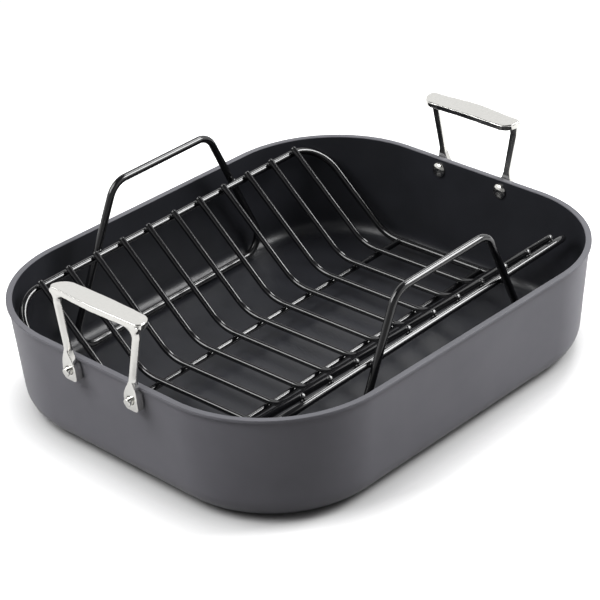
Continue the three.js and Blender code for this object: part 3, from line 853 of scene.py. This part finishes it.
def basket_frame():
    """The closed frame: two straight rails, and a U at each end that the cross wires follow."""
    foot = RAIL_Y - (RAIL_Z - FRAME_FLAT_Z) / math.tan(SLOPE)
    bend = BASKET_BEND + CROSS_LIFT
    corners = []
    for half in (1, -1):
        corners += [
            (-half * FRAME_END, half * RAIL_Y, RAIL_Z, FRAME_CORNER),
            (half * FRAME_END, half * RAIL_Y, RAIL_Z, FRAME_CORNER),
            (half * FRAME_END, half * foot, FRAME_FLAT_Z, bend),
            (half * FRAME_END, -half * foot, FRAME_FLAT_Z, bend),
        ]
    set_in_rack(wire("basket_frame", corners, FRAME_WIRE, True), "rack_frame")


def cross_wires():
    """One U-shaped wire with blunt ends just above the rails, and its copies along them."""
    tip_y = BASKET_FOOT + SLOPE_LENGTH * math.cos(SLOPE)
    tip_z = BASKET_RAISE + SLOPE_LENGTH * math.sin(SLOPE)
    corners = [
        (0, -tip_y, tip_z, 0),
        (0, -BASKET_FOOT, BASKET_RAISE, BASKET_BEND),
        (0, BASKET_FOOT, BASKET_RAISE, BASKET_BEND),
        (0, tip_y, tip_z, 0),
    ]
    cross = wire("cross_wire", corners, CROSS_WIRE, False)
    for number, x in enumerate(WIRE_X, 1):
        set_in_rack(copy_of(cross, f"basket_wire_{number:02d}"), f"cross_wire_{number:02d}", x)
    bpy.data.objects.remove(cross)


def under_rod(side, seat):
    """A straight rod under the basket's flat, from one end of the frame to the other."""
    corners = [(-ROD_END, side * ROD_Y, ROD_Z, 0), (ROD_END, side * ROD_Y, ROD_Z, 0)]
    set_in_rack(wire(f"{seat}_rod", corners, ROD_WIRE, False), f"under_rod_{seat}")


def lift_loop(side, seat):
    """A closed loop beside a rail: the lifting grip at its top, a foot on the pan's floor below."""
    y = side * LOOP_Y
    corners = [
        (-LOOP_GRIP_X, y, LOOP_GRIP_Z, LOOP_TOP_BEND),
        (LOOP_GRIP_X, y, LOOP_GRIP_Z, LOOP_TOP_BEND),
        (LOOP_FOOT_X, y, LOOP_FOOT_Z, LOOP_FOOT_BEND),
        (-LOOP_FOOT_X, y, LOOP_FOOT_Z, LOOP_FOOT_BEND),
    ]
    set_in_rack(wire(f"{seat}_loop", corners, LOOP_WIRE, True), f"lift_loop_{seat}")


def weld_spots():
    """Where the wires cross: the spot, the way from one wire to the other, and the bead's size."""
    frame_face = FRAME_WIRE / 2 + WELD_GAP / 2
    spots = []
    for x in WIRE_X:
        for side in (-1, 1):
            across = Vector((0, -side * math.sin(SLOPE), math.cos(SLOPE)))
            spots.append((Vector((x, side * RAIL_Y, RAIL_Z)) + across * frame_face, across, RAIL_BEAD))
            rod_top = ROD_Z + ROD_WIRE / 2 + WELD_GAP / 2
            spots.append((Vector((x, side * ROD_Y, rod_top)), Vector((0, 0, 1)), ROD_BEAD))
    share = (LOOP_GRIP_Z - RAIL_Z) / (LOOP_GRIP_Z - LOOP_FOOT_Z)
    loop_x = between(LOOP_GRIP_X, LOOP_FOOT_X, share)
    for side in (-1, 1):
        for end in (-1, 1):
            at_loop = Vector((end * loop_x, side * (RAIL_Y + frame_face), RAIL_Z))
            spots.append((at_loop, Vector((0, 1, 0)), LOOP_BEAD))
            at_frame = Vector((end * (FRAME_END - frame_face), side * ROD_Y, ROD_Z))
            spots.append((at_frame, Vector((1, 0, 0)), ROD_END_BEAD))
    return spots


def weld_beads():
    """Small flattened beads of weld where the wires cross, all in one piece."""
    bead = begin(bpy.ops.mesh.primitive_ico_sphere_add, "weld_bead", subdivisions=3, radius=1)
    edit(bead)
    bpy.ops.transform.vertex_random(offset=BEAD_ROUGHNESS, uniform=0.0, normal=1.0, seed=BEAD_SEED)
    bpy.ops.mesh.vertices_smooth(factor=0.5, repeat=2)
    leave()
    beads = []
    for number, (spot, facing, (radius, rise)) in enumerate(weld_spots()):
        twin = copy_of(bead, f"bead_{number}")
        turn = facing.to_track_quat("Z", "Y").to_matrix().to_4x4()
        size = Matrix.Diagonal((radius * MM, radius * MM, rise * MM, 1))
        place(twin, RACK @ Matrix.Translation(spot * MM) @ turn @ size)
        beads.append(twin)
    bpy.data.objects.remove(bead)
    welds = join("rack_welds", beads)
    smooth(welds, 60)
    dress(welds, WIRE_COAT)
    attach(welds, "rack")


def rack():
    """The whole rack, each wire in its own piece."""
    basket_frame()
    cross_wires()
    for side, seat in ((-1, "front"), (1, "back")):
        under_rod(side, seat)
        lift_loop(side, seat)
    weld_beads()


pan_body()
pan_handles()
pan_rivets()
rack()


# The camera and the studio.
def look():
    """Makes the camera, and gives the direction from the object to it."""
    level = math.cos(ELEVATION)
    back = Vector((math.sin(AZIMUTH) * level, -math.cos(AZIMUTH) * level, math.sin(ELEVATION)))
    right = Vector((math.cos(AZIMUTH), math.sin(AZIMUTH), 0))
    up = back.cross(right)
    eye = (right * EYE_RIGHT + up * EYE_UP + back * EYE_BACK) * MM
    across = right * math.cos(ROLL) + up * math.sin(ROLL)
    upward = up * math.cos(ROLL) - right * math.sin(ROLL)
    data = bpy.data.cameras.new("camera")
    data.lens = LENS
    data.sensor_width = SENSOR
    data.clip_end = SIGHT
    camera = bpy.data.objects.new("camera", data)
    turn = Matrix((across, upward, back)).transposed().to_4x4()
    camera.matrix_world = Matrix.Translation(eye) @ turn
    bpy.context.scene.collection.objects.link(camera)
    bpy.context.scene.camera = camera
    return back


def softbox(name, spot, width, height, watts):
    """A rectangular soft lamp that is aimed at the object."""
    data = bpy.data.lights.new(name, "AREA")
    data.shape = "RECTANGLE"
    data.size = width
    data.size_y = height
    data.energy = watts
    lamp = bpy.data.objects.new(name, data)
    aim = (Vector(LAMP_AIM) - Vector(spot)).to_track_quat("-Z", "Y").to_matrix().to_4x4()
    lamp.matrix_world = Matrix.Translation(spot) @ aim
    bpy.context.scene.collection.objects.link(lamp)


def ray_kinds(tree):
    """1 for rays of the camera, and 1 for rays that see a surface in a mirror or through glass."""
    path = add_node(tree, "ShaderNodeLightPath")
    mirrored = add_node(tree, "ShaderNodeMath", {"operation": "MAXIMUM"}, links={
        0: path.outputs["Is Glossy Ray"], 1: path.outputs["Is Transmission Ray"]})
    return path.outputs["Is Camera Ray"], mirrored.outputs[0]


def studio_floor():
    """A pale floor that keeps the shadow, has painted shade at the contact, and runs out to white for the
    camera.
    """
    floor = begin(bpy.ops.mesh.primitive_plane_add, "studio_floor", size=FLOOR_SIZE)
    material, tree, where = start_material("white_studio_floor")
    from_camera, mirrored = ray_kinds(tree)
    plain, pale, lift = (
        add_node(tree, "ShaderNodeBsdfDiffuse", values={"Color": linear(tone)}).outputs[0]
        for tone in (FLOOR_AS_LIGHT, FLOOR_IN_MIRRORS, FLOOR_LIFT))
    # Ambient occlusion darkens the white the camera sees near the pan: painted contact shade, on top of the
    # lamps' real shadow.
    painted_contact_shade = add_node(tree, "ShaderNodeAmbientOcclusion", {"samples": 16}, {"Distance": CONTACT_SHADOW})
    white = add_node(tree, "ShaderNodeBsdfDiffuse", links={"Color": painted_contact_shade.outputs["Color"]})
    lifted = add_node(tree, "ShaderNodeAddShader", links={0: white.outputs[0], 1: lift})
    reach = add_node(tree, "ShaderNodeVectorMath", {"operation": "LENGTH"}, links={0: where})
    away = add_node(tree, "ShaderNodeMapRange", {"interpolation_type": "SMOOTHSTEP"},
                    {"From Min": WHITE_FROM, "From Max": WHITE_BEYOND}, {"Value": reach.outputs["Value"]})
    surround = add_node(tree, "ShaderNodeEmission", values={"Color": WHITE, "Strength": 1.0})
    seen = add_node(tree, "ShaderNodeMixShader", links={
        0: away.outputs["Result"], 1: lifted.outputs[0], 2: surround.outputs[0]})
    lit = add_node(tree, "ShaderNodeMixShader", links={0: mirrored, 1: plain, 2: pale})
    mix = add_node(tree, "ShaderNodeMixShader", links={
        0: from_camera, 1: lit.outputs[0], 2: seen.outputs[0]})
    add_node(tree, "ShaderNodeOutputMaterial", links={"Surface": mix.outputs[0]})
    dress(floor, material)


def studio_world(back):
    """A white backdrop on the far side, dim overhead and on the near side; plain white to the camera."""
    world = bpy.data.worlds.new("studio")
    bpy.context.scene.world = world
    world.use_nodes = True
    tree = world.node_tree
    tree.nodes.clear()
    from_camera, mirrored = ray_kinds(tree)
    soft_step = {"interpolation_type": "SMOOTHSTEP"}
    way = add_node(tree, "ShaderNodeTexCoord").outputs["Generated"]
    height = add_node(tree, "ShaderNodeSeparateXYZ", links={0: way})
    overhead = add_node(tree, "ShaderNodeMapRange", soft_step, OVERHEAD_FADE, {"Value": height.outputs["Z"]})
    facing = add_node(tree, "ShaderNodeVectorMath", {"operation": "DOT_PRODUCT"},
                      {1: (back.x, back.y, 0)}, {0: way})
    in_mirrors, as_light = (
        add_node(tree, "ShaderNodeMapRange", soft_step, {**BACKDROP_TURN, "To Min": far, "To Max": near},
                 {"Value": facing.outputs["Value"]}).outputs["Result"]
        for far, near in (BACKDROP_IN_MIRRORS, BACKDROP_AS_LIGHT))
    shown = add_node(tree, "ShaderNodeMath", {"operation": "MULTIPLY"},
                     links={0: overhead.outputs["Result"], 1: in_mirrors})
    fill = add_node(tree, "ShaderNodeBackground", values={"Color": WHITE}, links={"Strength": as_light})
    backdrop = add_node(tree, "ShaderNodeBackground", values={"Color": WHITE},
                        links={"Strength": shown.outputs[0]})
    white = add_node(tree, "ShaderNodeBackground", values={"Color": WHITE, "Strength": 1.0})
    lit = add_node(tree, "ShaderNodeMixShader", links={
        0: mirrored, 1: fill.outputs[0], 2: backdrop.outputs[0]})
    mix = add_node(tree, "ShaderNodeMixShader", links={
        0: from_camera, 1: lit.outputs[0], 2: white.outputs[0]})
    add_node(tree, "ShaderNodeOutputWorld", links={"Surface": mix.outputs[0]})


to_camera = look()
studio_floor()
studio_world(to_camera)
for lamp_values in LAMPS:
    softbox(*lamp_values)

bpy.context.scene.view_settings.view_transform = "Standard"
bpy.ops.object.select_all(action="DESELECT")
